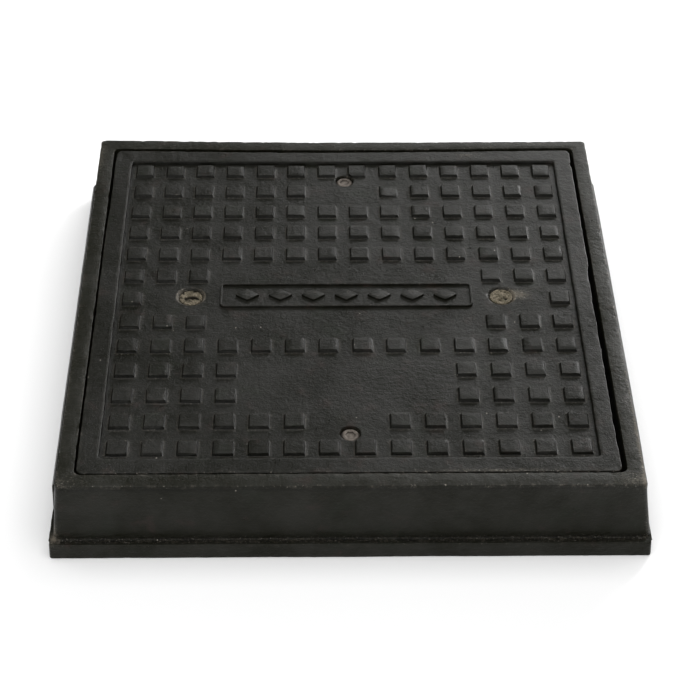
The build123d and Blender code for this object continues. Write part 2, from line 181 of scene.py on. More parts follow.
def fill_gaps(lines, limit):
    """Sorted lines without near doubles, and with every gap over limit divided evenly."""
    kept = []
    for value in sorted(lines):
        if not kept or value - kept[-1] > NEAR_DOUBLE:
            kept.append(value)
    filled = [kept[0]]
    for value in kept[1:]:
        start = filled[-1]
        parts = max(1, math.ceil((value - start) / limit - 1e-6))
        filled += [start + (value - start) * k / parts for k in range(1, parts + 1)]
    return np.array(filled)


def mirrored(values):
    """The values and their negatives."""
    return [sign * value for value in values for sign in (-1, 1)]


def patch(points, centre, reach):
    """A soft patch round a place, for marks that belong to one spot."""
    offset = (points - np.array(centre)) / np.array(reach)
    return np.exp(-(offset**2).sum(axis=1))


# ---- Making pieces ----
def piece(name, points, faces, smooth_angle=SMOOTH_ANGLE):
    """A mesh object from points in millimetres, smooth but for its sharp edges."""
    mesh = bpy.data.meshes.new(name)
    mesh.from_pydata([tuple(p) for p in np.asarray(points) * MM], [], faces)
    mesh.validate()
    mesh.update()
    mesh.shade_smooth()
    mesh.set_sharp_from_angle(angle=math.radians(smooth_angle))
    made = bpy.data.objects.new(name, mesh)
    bpy.context.scene.collection.objects.link(made)
    return made


def co_mm(made):
    """A piece's points in millimetres."""
    values = np.zeros(len(made.data.vertices) * 3, np.float32)
    made.data.vertices.foreach_get("co", values)
    return values.reshape(-1, 3).astype(float) / MM


def mark(made, name, values):
    """Store one number per point, for the material to read."""
    layer = made.data.attributes.new(name, "FLOAT", "POINT")
    layer.data.foreach_set("value", np.asarray(values, np.float32))


def join_solids(made, others, operation):
    """Add other solids to a piece, or cut them out of it, and drop them."""
    for other in others:
        step = made.modifiers.new("solid", "BOOLEAN")
        step.operation = operation
        step.solver = "MANIFOLD"
        step.object = other
        bpy.context.view_layer.objects.active = made
        bpy.ops.object.modifier_apply(modifier=step.name)
        bpy.data.objects.remove(other)
    made.data.shade_smooth()
    made.data.set_sharp_from_angle(angle=math.radians(SMOOTH_ANGLE))


def skin(rings, count, closed=False):
    """Faces of a tube through rings of points, capped at both ends or closed on itself."""
    faces = []
    if not closed:
        last = (rings - 1) * count
        faces = [range(count)[::-1], range(last, last + count)]
    for ring in range(rings if closed else rings - 1):
        a, b = ring * count, (ring + 1) % rings * count
        for i in range(count):
            j = (i + 1) % count
            faces.append((a + i, a + j, b + j, b + i))
    return faces


def turned(rings, turns):
    """Points of rings round the Z axis. Each ring is its radius, or radii, and its height."""
    return np.vstack([
        np.column_stack([r * np.cos(turns), r * np.sin(turns), z + np.zeros(len(turns))])
        for r, z in rings
    ])


def lathe(name, profile, centre, steps=64, axis="Z"):
    """A turned solid. The profile is (radius, height) from the bottom up."""
    points = turned(profile, 2 * math.pi * np.arange(steps) / steps)
    if axis == "Y":
        points = points[:, [0, 2, 1]] * (1, 1, -1)
    return piece(name, points + np.array(centre), skin(len(profile), steps))


def prism(name, outline, low, high, centre):
    """An upright solid with that outline, anticlockwise, between two heights."""
    points = [(x, y, z) for z in (low, high) for x, y in outline]
    return piece(name, np.array(points) + np.array(centre), skin(2, len(outline)))


def bevelled_prism(name, outline, low, high, centre, inset, round_by):
    """A low boss: its sides lean in by inset, and its top edge is rounded off."""
    reach = np.linalg.norm(outline, axis=1).max()
    levels = [
        (low, 0.0),
        (high - round_by, inset),
        (high - 0.3 * round_by, inset + 0.3 * round_by),
        (high, inset + round_by),
    ]
    points = [(x, y, z) for z, shrink in levels for x, y in outline * (1 - shrink / reach)]
    return piece(name, np.array(points) + np.array(centre), skin(len(levels), len(outline)))


def rounded_rectangle(half_x, half_y, corner, arc_steps=6):
    """The outline of a rounded rectangle, anticlockwise."""
    outline = []
    for side_x, side_y, start in ((1, -1, -90), (1, 1, 0), (-1, 1, 90), (-1, -1, 180)):
        x, y = side_x * (half_x - corner), side_y * (half_y - corner)
        for k in range(arc_steps + 1):
            turn = math.radians(start + 90 * k / arc_steps)
            outline.append((x + corner * math.cos(turn), y + corner * math.sin(turn)))
    return outline


# ---- Cover casting ----
cover_low, cover_high = box_mm("cover_casting")
cover_half = (cover_high[0] - cover_low[0]) / 2
COVER_AXIS = np.array([*axis_mm("cover_casting"), cover_high[2]])  # the middle of its top
SOCKETS = [axis_mm(f"{side}_key_plug") - COVER_AXIS[:2] for side in ("left", "right")]
LOCKS = [axis_mm(f"{end}_lock_bolt") - COVER_AXIS[:2] for end in ("rear", "front")]


def stud_columns():
    """The studs' places across the cover."""
    count = len(STUD_ROWS[0])
    even = np.linspace(-STUD_SPAN / 2, STUD_SPAN / 2, count)
    return even - COLUMN_DRIFT * np.sin(math.pi * np.arange(count) / (count - 1))


def square_ring(x, y):
    """Half the size of the upright square that each point lies on."""
    return np.maximum(np.abs(x), np.abs(y))


def nearest_stud(x, y):
    """Nearest stud's place as row and column, whether it has a stud, and the offset from it."""
    columns = stud_columns()
    rows = len(STUD_ROWS)
    along = STUD_SPAN / (rows - 1)
    column = np.searchsorted((columns[1:] + columns[:-1]) / 2, x)
    row = np.clip(np.round((STUD_SPAN / 2 - y) / along).astype(int), 0, rows - 1)
    present = np.array([[place == "#" for place in line] for line in STUD_ROWS])[row, column]
    return row, column, present, x - columns[column], y - (STUD_SPAN / 2 - row * along)


def stud_relief(x, y):
    """Height of the studs above the field, each a little out of true as cast."""
    row, column, present, local_x, local_y = nearest_stud(x, y)
    shape = (len(STUD_ROWS), len(STUD_ROWS[0]))
    random = np.random.default_rng(11)
    shift = random.uniform(-0.3, 0.3, (*shape, 2))[row, column]
    grow = random.uniform(-0.35, 0.1, shape)[row, column]
    tilt = random.uniform(-0.014, 0.014, (*shape, 2))[row, column]
    local_x, local_y = local_x - shift[:, 0], local_y - shift[:, 1]
    depth = rect_depth(local_x, local_y, STUD_HALF + grow, STUD_HALF + grow, STUD_CORNER)
    top = FIELD_DEPTH - 0.15 + tilt[:, 0] * local_x + tilt[:, 1] * local_y
    broken = (row == BROKEN_STUD[0]) & (column == BROKEN_STUD[1])
    rubble = rough(np.column_stack([x, y, np.zeros_like(x)]), 7, 47)
    lost = 1.4 + 1.6 * rubble + 0.13 * (local_x + 0.4 * local_y)
    top = np.where(broken, top - np.clip(lost, 0, 3.6), top)
    return np.where(present, np.minimum(top, FIELD_DEPTH) * flank_rise(depth), 0)


def cover_lines(along_y):
    """Grid lines for the top and, among them, those that the underside uses too."""
    studs = np.linspace(-STUD_SPAN / 2, STUD_SPAN / 2, len(STUD_ROWS))
    if not along_y:
        studs = stud_columns()
    flank = [STUD_HALF - FLANK * share for share in FLANK_SHARES]
    shared = [0.0]
    for k in range(RIB_COUNT):
        rib = (k - (RIB_COUNT - 1) / 2) * RIB_PITCH
        shared += [rib - RIB_ROOT, rib - RIB_FOOT, rib + RIB_FOOT, rib + RIB_ROOT]
    cavity = cover_half - SKIRT_THICKNESS
    edge = (264.3, 266.0, 267.6, 269.0)
    shared += mirrored((RIB_REACH, RIB_REACH + 0.7, cavity - 0.5, cavity, *edge))
    shared += mirrored((cover_half - COVER_CORNER, cover_half))
    field = [FIELD_HALF - BORDER_FLANK * share for share in FLANK_SHARES]
    rim = [cover_half - EDGE_ROUND * k for k in (0.12, 0.35, 0.65, 1.0)]
    top = [stud + offset for stud in studs for offset in mirrored(flank)]
    top += mirrored((*field, 247.6, *rim))
    under = fill_gaps(shared, BOTTOM_SPACING)
    clear = [line for line in top if np.min(np.abs(under - line)) > NEAR_DOUBLE]
    every = fill_gaps([*under, *clear], TOP_SPACING)
    index = [int(np.argmin(np.abs(every - u))) for u in under]
    return every, index


def to_rounded_square(x, y, ring, corner):
    """Bend the corners of the square ring that each point lies on into arcs."""
    knee = ring - corner
    on_side = np.abs(x) >= np.abs(y)
    along = np.where(on_side, np.abs(y), np.abs(x))
    share = np.clip((along - knee) / np.maximum(corner, 1e-6), 0, 1)
    turn = share * math.pi / 4
    outward = np.where(corner > 0, knee + corner * np.cos(turn), ring)
    sideways = np.where(share > 0, knee + corner * np.sin(turn), along)
    new_x = np.where(on_side, outward, sideways) * np.sign(x)
    new_y = np.where(on_side, sideways, outward) * np.sign(y)
    return new_x, new_y


def worn_side(x, y):
    """How far the cover's sides are worn back: ragged, mostly on the right towards the front."""
    right, left = (ramp(side * x - WORN_FROM, cover_half - WORN_FROM) for side in (1, -1))
    line = np.column_stack([np.zeros_like(y), y, np.zeros_like(y)])
    ragged = 0.8 * rough(line, 18, 31) + 0.35 * noise(line, 5, 37)
    forward = ramp(56 - y, 14) * (1 - 0.65 * ramp(-y - 225, 35)) * (2.1 + ragged)
    notch = 1.7 * bell(y, 243, 4.0)
    rearward = ramp(y - 120, 60) * (1.1 + 0.4 * ragged)
    worn_right = np.maximum(forward, 0) + 0.2 * np.abs(ragged) + notch
    return right * worn_right - left * rearward


def cover_bow(x, y):
    """How far the rear of the cover is cast out of straight: bowed in at the middle."""
    edge = np.interp(x, (-270, -200, -120, -40, 60, 160, 230, 270),
                     (2.0, 0.6, -1.2, -2.4, -1.9, -0.4, 1.2, 2.0))
    border = np.interp(x, (-250, -40, 250), (0.85, -1.65, 0.05))
    inner = np.interp(y, (150, 236, BORDER_FROM), (0, 0.4, 1))
    outer = np.clip((y - BORDER_FROM) / (cover_half - BORDER_FROM), 0, 1)
    return border * inner * (1 - outer) + edge * outer


def cover_grid(xs, ys, rings, corners):
    """A grid's points, their square rings, and the points with the rings' corners bent round."""
    grid_x, grid_y = (a.ravel() for a in np.meshgrid(xs, ys, indexing="ij"))
    ring = square_ring(grid_x, grid_y)
    x, y = to_rounded_square(grid_x, grid_y, ring, np.interp(ring, rings, corners))
    return grid_x, grid_y, ring, x, y


def cover_top(xs, ys):
    """Border, field and studs, with the casting's waves, roughness and wear."""
    rings = (STUDS_END, FIELD_HALF - BORDER_FLANK, FIELD_HALF, cover_half)
    corners = (0, FIELD_CORNER, FIELD_CORNER, COVER_CORNER)
    grid_x, grid_y, ring, x, y = cover_grid(xs, ys, rings, corners)
    flat = np.column_stack([x, y, np.zeros_like(x)])
    height = -FIELD_DEPTH * flank_rise((FIELD_HALF - ring) * FLANK / BORDER_FLANK)
    height += stud_relief(grid_x, grid_y)
    over = np.clip(ring - (cover_half - EDGE_ROUND), 0, EDGE_ROUND)
    height -= EDGE_ROUND - np.sqrt(EDGE_ROUND**2 - over**2)
    height += 0.16 * rough(flat, 60, 3) + 0.10 * rough(flat, 11, 7) - 0.2
    height -= 1.1 * bell(x, -261, 6) * bell(y, 258, 6)
    crumble = np.exp(-((cover_half - ring) / 2.2)) * np.clip(rough(flat, 7, 43), 0, 1)
    height -= 1.3 * crumble
    x = x + 0.28 * noise(flat, 13, 17) + 0.12 * noise(flat, 5, 19)
    y = y + 0.28 * noise(flat, 13, 23) + 0.12 * noise(flat, 5, 29)
    x = x - worn_side(grid_x, grid_y)
    x, y = (np.clip(a, -cover_half, cover_half) for a in (x, y))
    return np.column_stack([x, y + cover_bow(x, y), height])


def cover_skirt(edge):
    """Rings from the top's edge down to a small radius at the skirt's foot."""
    levels = ((0.03, 0.0), (0.12, 0.02), (0.25, 0.1), (0.4, 0.3), (0.55, 0.5), (0.7, 0.7),
              (0.85, 0.85), (0.97, 1.1))
    rings = []
    for share, inset in levels:
        shrink = 1 - SKIRT_INSET * inset / cover_half
        depth = edge[:, 2] + share * (-SHALLOW_RIB - edge[:, 2])
        ring = np.column_stack([edge[:, :2] * shrink, depth])
        wobble = np.abs(0.22 * rough(ring, 14, 53))[:, None]
        ring[:, :2] -= np.sign(ring[:, :2]) * wobble
        rings.append(ring)
    return rings


def cover_underside(xs, ys):
    """The skirt's foot, the plate and the ribs."""
    rings, corners = (STUDS_END, 256, cover_half), (0, 8.0, COVER_CORNER)
    grid_x, grid_y, ring, x, y = cover_grid(xs, ys, rings, corners)
    roof = -FIELD_DEPTH - PLATE_THICKNESS
    foot = np.where(ring < RIB_REACH + 0.3, -DEEP_RIB, -SHALLOW_RIB)
    height = np.where(rib_mask(grid_x) | rib_mask(grid_y), foot, roof)
    height = np.where(ring > cover_half - SKIRT_THICKNESS - 0.3, -SHALLOW_RIB, height)
    lift = 0.25 * rough(np.column_stack([x, y, height]), 22, 61)
    height = height + np.where(height > roof - 1, lift, np.abs(lift))
    shrink = 1 - SKIRT_INSET * 1.6 / cover_half
    return np.column_stack([x * shrink, y * shrink + cover_bow(x, y), height])


def build_cover():
    """One closed solid: relief on top, ribs underneath, rounded edges, holes cut last."""
    xs, under_x = cover_lines(along_y=False)
    ys, under_y = cover_lines(along_y=True)
    top = cover_top(xs, ys)
    ids = np.arange(len(top)).reshape(len(xs), len(ys))
    faces = quads(ids)
    around = perimeter(len(xs), len(ys))
    above = np.array([ids[place] for place in around])
    skirt = cover_skirt(top[above])
    start = len(top)
    for ring in skirt:
        this = np.arange(start, start + len(ring))
        corners = (above, this, np.roll(this, -1), np.roll(above, -1))
        faces += np.column_stack(corners).tolist()
        above = this
        start += len(ring)

    # The underside uses fewer lines, so the faces that close it have more corners
    below = cover_underside(xs[under_x], ys[under_y])
    low_ids = start + np.arange(len(below)).reshape(len(under_x), len(under_y))
    faces += [face[::-1] for face in quads(low_ids)]
    spot = {place: k for k, place in enumerate(around)}
    low_around = perimeter(len(under_x), len(under_y))
    for k, place in enumerate(low_around):
        following = low_around[(k + 1) % len(low_around)]
        a, b = (spot[under_x[i], under_y[j]] for i, j in (place, following))
        b = b if b > a else b + len(around)
        upper = [above[n % len(around)] for n in range(a, b + 1)]
        faces.append((upper[0], low_ids[place], low_ids[following], *reversed(upper[1:])))
    made = piece("cover_body", np.vstack([top, *skirt, below]) + COVER_AXIS, faces)
    join_solids(made, cover_bosses(), "UNION")
    join_solids(made, cover_cutters(), "DIFFERENCE")
    return made


def quads(ids):
    """Faces of a grid of point numbers, facing up."""
    corners = np.stack([ids[:-1, :-1], ids[1:, :-1], ids[1:, 1:], ids[:-1, 1:]], axis=-1)
    return [tuple(face) for face in corners.reshape(-1, 4).tolist()]


def rib_mask(values):
    """Where a line runs along the foot of a rib."""
    offset = (values / RIB_PITCH - 0.5) % 1
    distance = np.minimum(offset, 1 - offset) * RIB_PITCH
    return (distance < RIB_FOOT + 0.1) & (np.abs(values) < RIB_COUNT / 2 * RIB_PITCH)


def perimeter(count_x, count_y):
    """Places of a grid's outer points, in order."""
    last_x, last_y = count_x - 1, count_y - 1
    walk = [(i, 0) for i in range(last_x)] + [(last_x, j) for j in range(last_y)]
    walk += [(last_x - i, last_y) for i in range(last_x)]
    return walk + [(0, last_y - j) for j in range(last_y)]


def cover_bosses():
    """Solids added to the cover: socket and screw bosses, and the blank name band."""
    solids = []
    roof = -FIELD_DEPTH - PLATE_THICKNESS + 1
    for (x, y), radius in zip(SOCKETS + LOCKS, (38, 38, 20, 20)):
        profile = [(radius - 1, -DEEP_RIB + 0.05), (radius, -DEEP_RIB + 1), (radius, roof)]
        solids.append(lathe("boss", profile, COVER_AXIS + (x, y, 0), steps=72))
    foot = -FIELD_DEPTH - 1
    level = -FIELD_DEPTH + BAND_HEIGHT - 0.1
    for k in range(LOZENGE_COUNT):
        x = (k - (LOZENGE_COUNT - 1) / 2) * LOZENGE_PITCH
        centre = COVER_AXIS + (x, BAND_Y, 0)
        solids.append(bevelled_prism("lozenge", lozenge_outline(), foot, level, centre, 0.5, 0.5))
    solids.append(band_outline(foot, level))
    return solids


def lozenge_outline(steps=40):
    """A lozenge with slightly rounded corners, anticlockwise."""
    turns = 2 * math.pi * (np.arange(steps) + 0.5) / steps
    waves = (np.cos(turns), np.sin(turns))
    outline = np.column_stack([np.sign(w) * np.abs(w) ** (2 / 1.12) for w in waves])
    return outline * (LOZENGE_LENGTH / 2, LOZENGE_WIDTH / 2)


def band_outline(foot, level):
    """The raised line round the band, as a swept bar with rounded shoulders."""
    shoulder = [(0, foot), (0.3, level - 0.5), (0.8, level)]
    profile = shoulder + [(BAND_LINE - inset, z) for inset, z in reversed(shoulder)]
    points = []
    for inset, height in profile:
        loop = rounded_rectangle(BAND_LENGTH / 2 - inset, BAND_WIDTH / 2 - inset, 6.0 - inset)
        points += [(x, y + BAND_Y, height) for x, y in loop]
    faces = skin(len(profile), len(loop), closed=True)
    return piece("band", np.array(points) + COVER_AXIS, faces)


def cover_cutters():
    """Solids cut from the cover: keyholes over their chambers, and locking screw holes."""
    cutters = []
    roof = -FIELD_DEPTH - PLATE_THICKNESS
    for x, y in SOCKETS:
        centre = COVER_AXIS + (x, y, 0)
        chamber = [(27, -45), (27, -16), (25.5, -14.3), (24, roof)]
        throat = [(13.4, roof), (13, -13), (13, -7.2), (13.3, -6.4)]
        mouth = [(15.2, -4.5), (15.9, -4.1), (16.6, -3.9), (16.6, 6)]
        cutters.append(lathe("keyhole", chamber + throat + mouth, centre, steps=72))
        bar_centre = (*centre[:2], box_mm("left_key_bar")[0][2] + 5)
        bar = [(BAR_RADIUS, -38.5), (BAR_RADIUS, 38.5)]
        cutters.append(lathe("bar_hole", bar, bar_centre, steps=40, axis="Y"))
    for x, y in LOCKS:
        centre = COVER_AXIS + (x, y, 0)
        below = [(13, -45), (13, -28.3), (12.2, -27.5), (6.75, -27.5), (6.75, -22)]
        above = [(9.9, -22), (10.5, -21.4), (10.5, -5.2), (10.75, -4.5), (11.4, -4.0), (11.4, 6)]
        cutters.append(lathe("screw_hole", below + above, centre, steps=72))
    return cutters


def cover_marks(made):
    """Wear on the proud edges, painted shade at the feet of the studs and of the border, and dust
    beside the right keyhole.
    """
    points = co_mm(made) - COVER_AXIS
    x, y, z = points.T
    ring = square_ring(x, y)
    present, local_x, local_y = nearest_stud(x, y)[2:]
    depth = rect_depth(local_x, local_y, STUD_HALF, STUD_HALF, STUD_CORNER)
    proud = ramp(z + 1.6, 1.2)
    stud_edge = 0.35 * bell(depth, 2.0, 0.6) * proud * present
    border_edge = 0.4 * bell(ring, FIELD_HALF + 0.2, 0.9) * proud
    outer_edge = np.exp(-((cover_half - ring) / 1.8)) * ramp(z + 5, 4)
    band = rect_depth(x, y - BAND_Y, BAND_LENGTH / 2 + 1, BAND_WIDTH / 2 + 1, 6)
    band_top = 0.35 * ramp(z + 2.6, 0.8) * (band > 0)
    mark(made, "edge", np.clip(stud_edge + border_edge + outer_edge + band_top, 0, 1))
    # Painted shade: darker, duller paint at the feet of the studs and at the foot of the border's
    # flank.
    toe = bell(depth, 0.9, 0.7) * (z < -1.0) * present
    groove = bell(ring, FIELD_HALF - BORDER_FLANK - 0.4, 1.0) * (z < -2.5)
    mark(made, "painted_shade", np.clip(toe + groove, 0, 1))
    smear = 0.8 * bell(x, SOCKETS[1][0] + 20, 12) * bell(y, SOCKETS[1][1] + 2, 9)
    for socket_x, socket_y in SOCKETS:
        distance = np.hypot(x - socket_x, y - socket_y)
        sideways = (x - socket_x) / 16
        side = np.abs(sideways) if socket_x < 0 else np.maximum(sideways, 0)
        smear += ramp(17.2 - distance, 1.5) * (0.25 + 0.6 * side**2)
    for lock_x, lock_y in LOCKS:
        distance = np.hypot(x - lock_x, y - lock_y)
        smear += 0.4 * ramp(11.2 - distance, 1.0) * (z > -11)
    smear += 0.55 * patch(points, (146, cover_half - 9, -0.5), (13, 5, 2))
    smear += 0.5 * patch(points, (150, 2 - cover_half, -0.5), (75, 2.5, 2))
    smear += 0.35 * bell(depth, -0.1, 0.8) * (z < -3.1) * present
    mark(made, "dust", np.clip(smear, 0, 1) * (z > -11))


# ---- Frame casting ----
OPENING_HALF = 250.0
FLANGE_TOP = 18.0
SEAT_TOP = 56.0
RIM_TOP = 90.0
WALL_FOOT = 293.0
LEFT_SPREAD = 4.6  # how much further out the side walls' feet stand than the front's
RIGHT_SPREAD = 7.8
RIM_BOW = (3.05, 1.6, -0.6, -1.95, -1.8, -1.2, -0.25)
POCKET_BOW = (2.55, 1.3, -0.4, -1.45, -1.2, 0.8, 2.55)
POCKET_Y = 1.0
PAD_END = 252.0
PAD_PATH = ((301.53, 18.0), (300.6, 53.5), (298.1, 56.0), (291.5, 56.6))
STATION_REACH = 282.0
STATION_SPACING = 3.8
SECTION_SPACING = 3.7
OUTSIDE = 285.0  # rings wider than this lie on the frame's outer faces

# The frame's closed section, anticlockwise seen along +Y on the right-hand side. Each corner is
# its half size, its corner radius in plan, its height, its rounding and its edge wear.
FRAME_PROFILE = (
    (OPENING_HALF, 20.0, 0.0, 1.0, 0.2), (302.0, 3.0, 0.0, 0.8, 0.2),
    (301.2, 3.0, FLANGE_TOP, 1.2, 0.25), (WALL_FOOT, 5.0, FLANGE_TOP, 1.6, 0.0),
    (290.25, 5.0, 89.6, 0.9, 1.0), (283.5, 6.0, RIM_TOP, 2.0, 0.1),
    (279.5, 7.0, RIM_TOP, 2.0, 0.1), (273.25, 7.5, 89.5, 0.9, 0.8),
    (272.65, 7.5, SEAT_TOP, 1.2, 0.0), (269.0, 20.0, SEAT_TOP, 0.4, 0.0),
    (269.0, 20.0, 53.0, 0.3, 0.0), (259.0, 10.0, 53.0, 0.3, 0.0),
    (259.0, 10.0, SEAT_TOP, 0.4, 0.2), (OPENING_HALF, 20.0, SEAT_TOP, 1.5, 0.4),
    (OPENING_HALF, 20.0, 42.0, 1.5, 0.2), (280.0, 20.0, 42.0, 3.0, 0.0),
    (280.0, 20.0, FLANGE_TOP, 3.0, 0.0), (OPENING_HALF, 20.0, FLANGE_TOP, 1.5, 0.2),
)


def round_section(corners, spacing):
    """Round the section's corners and divide its long runs: rows of (half, plan, z, wear)."""
    rows = []
    count = len(corners)
    for k in range(count):
        before, here, after = (np.array(corners[n % count])[[0, 2]] for n in (k - 1, k, k + 1))
        _, plan, _, rounding, wear = corners[k]
        back, ahead = before - here, after - here
        back_run, ahead_run = np.linalg.norm(back), np.linalg.norm(ahead)
        cut = min(rounding, 0.45 * back_run, 0.45 * ahead_run)
        for t in (0.0, 0.33, 0.67, 1.0):
            a = here + back / back_run * cut * (1 - t)
            b = here + ahead / ahead_run * cut * t
            place = a * (1 - t) + b * t
            rows.append((place[0], plan, place[1], wear))
    filled = []
    for k, row in enumerate(rows):
        following = rows[(k + 1) % len(rows)]
        filled.append(row)
        run = math.hypot(following[0] - row[0], following[2] - row[2])
        parts = math.ceil(run / spacing)
        for n in range(1, parts):
            share = n / parts
            between = [row[i] + (following[i] - row[i]) * share for i in range(3)]
            near = min(n, parts - n) * run / parts
            filled.append((*between, 0.5 * max(row[3], following[3]) * math.exp(-near / 1.2)))
    return filled


def stations():
    """Places along one side of the frame: between the pad's ends, and on to both corners."""
    on_pad = np.linspace(-PAD_END, PAD_END, round(2 * PAD_END / STATION_SPACING) + 1)
    beyond = np.linspace(PAD_END + 0.9, STATION_REACH, 10)
    return [*-beyond[::-1], *on_pad, *beyond]


def turn_quarters(places, quarter):
    """The places turned by that many right angles about the centre."""
    c, s = (1, 0, -1, 0)[quarter], (0, 1, 0, -1)[quarter]
    return [(x * c - y * s, x * s + y * c) for x, y in places]


def frame_ring(half, plan, fixed):
    """Points of one ring of the sweep, anticlockwise from the front-left corner."""
    reach = half - plan
    straight = [place * reach / STATION_REACH for place in stations()]
    if fixed:
        lengths = (0, PAD_END, STATION_REACH), (0, PAD_END, reach)
        straight = [math.copysign(np.interp(abs(p), *lengths), p) for p in stations()]
    arc = [math.radians(90 * k / 7) for k in range(1, 7)]
    side = [(value, -half) for value in straight]
    side += [(reach + plan * math.sin(t), -reach - plan * math.cos(t)) for t in arc]
    return np.array([place for quarter in range(4) for place in turn_quarters(side, quarter)])


def pad_place(share):
    """Half width and height on a pad's outline, from the flange's top edge to the wall."""
    path = np.array(PAD_PATH)
    length = np.concatenate([[0], np.cumsum(np.linalg.norm(np.diff(path, axis=0), axis=1))])
    along = share * length[-1]
    return np.interp(along, length, path[:, 0]), np.interp(along, length, path[:, 1])


def cast_warp(ring, z):
    """The side walls lean more than the front one, and the rear is cast out of straight."""
    x, y = ring.T
    spread = np.where(x > 0, RIGHT_SPREAD, LEFT_SPREAD) * x / WALL_FOOT
    low = np.clip((RIM_TOP - z) / (RIM_TOP - FLANGE_TOP), 0, 1)
    half = np.abs(ring).max()
    if OUTSIDE < half < 298 and z > FLANGE_TOP - 0.5:
        x = x + spread * low
    if half < 275 and z > 54:
        y = y + POCKET_Y * np.clip(half / 4 - 67.5, 0, 1)
    rear = ramp(y - 215, 60) * (1 - low) * ramp(half - 268, 5)
    bow = np.interp(x, (-290, -200, -110, -30, 60, 170, 290), RIM_BOW)
    if half < 280:
        bow = np.interp(x, (-273, -200, -110, -30, 60, 170, 273), POCKET_BOW)
    return np.column_stack([x, y + rear * bow])


def frame_sweep():
    """The section swept round the square with the side pads drawn out: rings, and edge wear."""
    section = round_section(FRAME_PROFILE, SECTION_SPACING)
    outside = [row for row in section if row[0] > OUTSIDE and FLANGE_TOP - 0.3 < row[2] < 58.5]
    steps = [math.hypot(b[0] - a[0], b[2] - a[2]) for a, b in zip(outside, outside[1:])]
    climb = np.concatenate([[0], np.cumsum(steps)]) / sum(steps)
    rings, wear = [], []
    for row in section:
        half, plan, z, edge = row
        ring = cast_warp(frame_ring(half, plan, fixed=half > OUTSIDE), z)
        heights = np.full(len(ring), z)
        marks = np.full(len(ring), edge)
        side, half_x = np.sign(ring[:, 0]), np.abs(ring[:, 0])
        on_pad = (np.abs(ring[:, 1]) <= PAD_END + 0.01) & (half_x > OUTSIDE)
        trail = (ring[:, 1] < -PAD_END - 0.01) & (half_x > OUTSIDE) & (z < 50)
        if row in outside:
            face, level = pad_place(climb[outside.index(row)])
            lean = np.where(ring[:, 0] < 0, 1.1, ramp(-ring[:, 1] - 120, 130))
            face = face - lean * np.clip(level / 53.5, 0, 1)
            share = np.interp(-ring[:, 1], (PAD_END, 262, 275, 286), (0.8, 0.45, 0.25, 0))
            drawn = half_x + share * (face - half_x)
            ring[trail, 0] = (side * np.maximum(drawn, half_x))[trail]
            ring[on_pad, 0] = (side * face)[on_pad]
            heights[on_pad] = level
            marks[on_pad] = 0.5 * math.exp(-abs(level - 54.5) / 1.5)
        elif half > 300:
            ring[on_pad, 0] = side[on_pad] * min(half, 302.0 - 0.0262 * z)
            marks[on_pad] = 0.1
        rings.append(np.column_stack([ring, heights]))
        wear.append(marks)
    return rings, np.concatenate(wear)


def build_frame():
    """The swept casting with its waves, chips, gussets, lugs and bush holes."""
    rings, edge = frame_sweep()
    points = np.vstack(rings)
    made = piece("frame_body", points, skin(len(rings), len(rings[0]), closed=True))
    normals = np.zeros(len(points) * 3, np.float32)
    made.data.vertices.foreach_get("normal", normals)
    normals = normals.reshape(-1, 3)
    swell = 0.30 * rough(points, 45, 71) + 0.16 * rough(points, 9, 77) - 0.12
    chips = np.clip(rough(points, 6.5, 83) - 0.12, 0, 1) * ramp(edge, 0.9)
    points = points + normals * (swell - 1.5 * chips)[:, None]
    points = np.clip(points, *box_mm("frame_casting")) * MM
    made.data.vertices.foreach_set("co", points.astype(np.float32).ravel())
    made.data.update()
    mark(made, "edge", edge)
    join_solids(made, frame_details(), "UNION")
    cutters = []
    for node in ("rear_lock_bush", "front_lock_bush"):
        hole = [(9.55, 10), (9.55, 60)]
        cutters.append(lathe("bush_hole", hole, (*axis_mm(node), 0), steps=48))
    join_solids(made, cutters, "DIFFERENCE")
    return made


def frame_details():
    """Gussets under the seat ledge, and the two lock lugs with rounded noses."""
    solids = []
    for quarter in range(4):
        for offset in (-140, 0, 140):
            if offset == 0 and quarter in (1, 3):
                continue  # a lug stands here
            block = rounded_rectangle(16.5, 5, 1.5, arc_steps=2)
            block = [(x + 266.6, y + offset) for x, y in block]
            solids.append(prism("gusset", turn_quarters(block, quarter), 16.5, 43.5, (0, 0, 0)))
    for side, node in ((1, "rear_lock_bush"), (-1, "front_lock_bush")):
        screw_x, screw_y = axis_mm(node)
        reach = abs(side * 282 - screw_y)
        nose = [(28 * math.cos(t), -28 * math.sin(t)) for t in np.linspace(math.pi, 0, 25)]
        outline = [*nose, (28, reach), (-28, reach)]
        if side < 0:
            outline = [(-x, -y) for x, y in outline]
        solids.append(prism("lug", outline, 24.1, 45.9, (screw_x, screw_y, 0)))
    return solids


